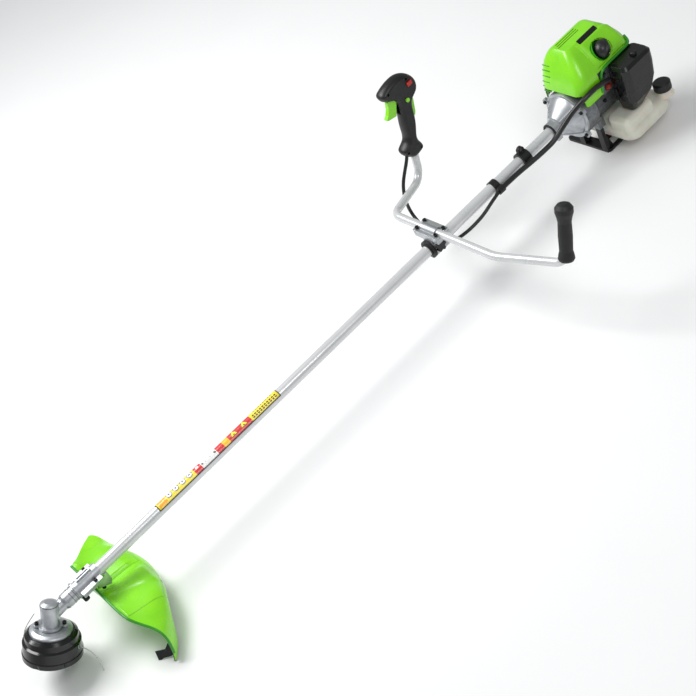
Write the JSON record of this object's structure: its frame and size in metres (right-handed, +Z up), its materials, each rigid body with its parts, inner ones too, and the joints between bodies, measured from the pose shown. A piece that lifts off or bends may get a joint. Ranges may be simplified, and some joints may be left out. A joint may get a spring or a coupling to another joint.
{
  "type": "string trimmer",
  "caption": "Petrol string trimmer with a long straight shaft, bike handlebars, a line head under a guard and a rear engine on a stand.",
  "frame": {"origin": "underside of the engine stand on the ground, below the shaft's axis, in line with the cylinder", "axes": "+X along the shaft from the cutting head to the engine, +Y to the operator's right on the throttle grip's side, +Z up from the ground"},
  "size_m": [1.8874, 0.5755, 0.407],
  "materials": {
    "tube_white": "gloss",
    "bright_steel": "satin",
    "sintered_bush": "satin",
    "cast_alloy": "satin",
    "black_nylon": "gloss",
    "clear_line": "translucent",
    "black_screws": "satin",
    "lime_plastic": "gloss",
    "black_plastic": "matte",
    "black_rubber": "matte",
    "red_plastic": "gloss",
    "friction_lining": "matte",
    "plug_ceramic": "gloss",
    "heat_paint": "matte",
    "filter_foam": "porous",
    "primer_rubber": "satin",
    "tank_white": "translucent"
  },
  "bodies": {
    "frame": {"shaft_tube": "tube_white", "shaft_bushes": "sintered_bush", "gearbox_housing": "cast_alloy", "gearbox_cap": "cast_alloy", "bracket_upper": "cast_alloy", "bracket_lower": "cast_alloy", "socket_screws": "black_screws", "guard_shell": "lime_plastic", "guard_skirt": "black_plastic", "line_cutter": "bright_steel", "clamp_base": "cast_alloy", "clamp_cap": "cast_alloy", "clamp_bolts": "black_screws", "clamp_sleeve": "black_rubber", "left_handlebar": "tube_white", "right_handlebar": "tube_white", "left_grip": "black_rubber", "throttle_grip_left": "black_plastic", "throttle_grip_right": "black_plastic", "grip_screws": "black_screws", "throttle_cable": "black_rubber", "cable_sleeve": "black_rubber", "cable_clip": "black_plastic", "harness_clamp": "black_screws", "clutch_housing": "cast_alloy", "crankcase": "cast_alloy", "cylinder": "cast_alloy", "spark_plug": "plug_ceramic", "plug_cap": "black_rubber", "engine_shroud": "lime_plastic", "muffler": "heat_paint", "carburettor": "cast_alloy", "air_filter": "filter_foam", "filter_cover": "black_plastic", "starter_housing": "black_plastic", "fuel_tank": "tank_white", "engine_stand": "black_plastic"},
    "drive_line": {"drive_shaft": "bright_steel", "pinion_gear": "bright_steel", "clutch_drum": "bright_steel"},
    "cutting_head": {"output_shaft": "bright_steel", "holder_flange": "cast_alloy", "head_housing": "black_nylon", "trimmer_line_a": "clear_line", "trimmer_line_b": "clear_line"},
    "bump_button": {"bump_knob": "black_nylon"},
    "line_spool": {"head_spool": "black_nylon"},
    "crank_group": {"crankshaft": "bright_steel", "flywheel": "cast_alloy", "clutch_shoes": "friction_lining"},
    "trigger": {"throttle_trigger": "lime_plastic"},
    "lockout": {"throttle_lockout": "lime_plastic"},
    "throttle_hold": {"hold_button": "lime_plastic"},
    "ignition_switch": {"stop_switch": "red_plastic"},
    "clamp_knob": {"star_knob": "black_plastic"},
    "starter_pull": {"starter_handle": "black_plastic"},
    "tank_cap": {"fuel_cap": "black_plastic"},
    "choke": {"choke_lever": "black_plastic"},
    "primer": {"primer_bulb": "primer_rubber"},
    "filter_lock": {"filter_knob": "black_plastic"}
  },
  "joints": [
    {"name": "drive_spin", "type": "hinge", "parent": "frame", "child": "drive_line", "pos_m": [-0.5, 0, 0.133], "axis": [1, 0, 0], "continuous": true},
    {"name": "head_spin", "type": "hinge", "parent": "frame", "child": "cutting_head", "pos_m": [-1.654, 0, 0.133], "axis": [0.5, 0, 0.866], "continuous": true},
    {"name": "bump_press", "type": "slide", "parent": "cutting_head", "child": "bump_button", "axis": [0.5, 0, 0.866], "range_m": [0, 0.003], "stiffness_N_per_m": 4000, "springref_m": -0.002},
    {"name": "spool_feed", "type": "hinge", "parent": "bump_button", "child": "line_spool", "pos_m": [-1.654, 0, 0.133], "axis": [0.5, 0, 0.866], "continuous": true},
    {"name": "crank_spin", "type": "hinge", "parent": "frame", "child": "crank_group", "pos_m": [0, 0, 0.133], "axis": [1, 0, 0], "continuous": true},
    {"name": "throttle_pull", "type": "hinge", "parent": "frame", "child": "trigger", "pos_m": [-0.375, 0.18, 0.369], "axis": [0, -1, 0], "range_deg": [0, 13], "stiffness_Nm_per_rad": 0.35, "springref_deg": -2.86},
    {"name": "lockout_press", "type": "hinge", "parent": "frame", "child": "lockout", "pos_m": [-0.337, 0.18, 0.3375], "axis": [0, 1, 0], "range_deg": [0, 7], "stiffness_Nm_per_rad": 0.25, "springref_deg": -2.86},
    {"name": "hold_press", "type": "slide", "parent": "frame", "child": "throttle_hold", "axis": [0, 1, 0], "range_m": [0, 0.0025], "stiffness_N_per_m": 400, "springref_m": -0.001},
    {"name": "stop_press", "type": "slide", "parent": "frame", "child": "ignition_switch", "axis": [0, 1, 0], "range_m": [0, 0.002], "stiffness_N_per_m": 400, "springref_m": -0.001},
    {"name": "clamp_knob_turn", "type": "hinge", "parent": "frame", "child": "clamp_knob", "pos_m": [-0.535, -0.025, 0.1427], "axis": [0, 1, 0], "continuous": true},
    {"name": "starter_draw", "type": "slide", "parent": "frame", "child": "starter_pull", "axis": [0, 1, 0], "range_m": [0, 0.6], "stiffness_N_per_m": 12, "springref_m": -0.25},
    {"name": "fuel_cap_turn", "type": "hinge", "parent": "frame", "child": "tank_cap", "pos_m": [0.115, -0.101, 0.088], "axis": [0, 0, 1], "continuous": true},
    {"name": "choke_flip", "type": "hinge", "parent": "frame", "child": "choke", "pos_m": [0.0055, -0.076, 0.133], "axis": [1, 0, 0], "range_deg": [0, 60]},
    {"name": "primer_press", "type": "slide", "parent": "frame", "child": "primer", "axis": [0, 1, 0], "range_m": [0, 0.002], "stiffness_N_per_m": 300, "springref_m": -0.001},
    {"name": "filter_knob_turn", "type": "hinge", "parent": "frame", "child": "filter_lock", "pos_m": [0.066, -0.098, 0.217], "axis": [0, 0, 1], "continuous": true}
  ],
  "couplings": [
    {"joint": "head_spin", "follows": "drive_spin", "ratio": -0.76471}
  ]
}
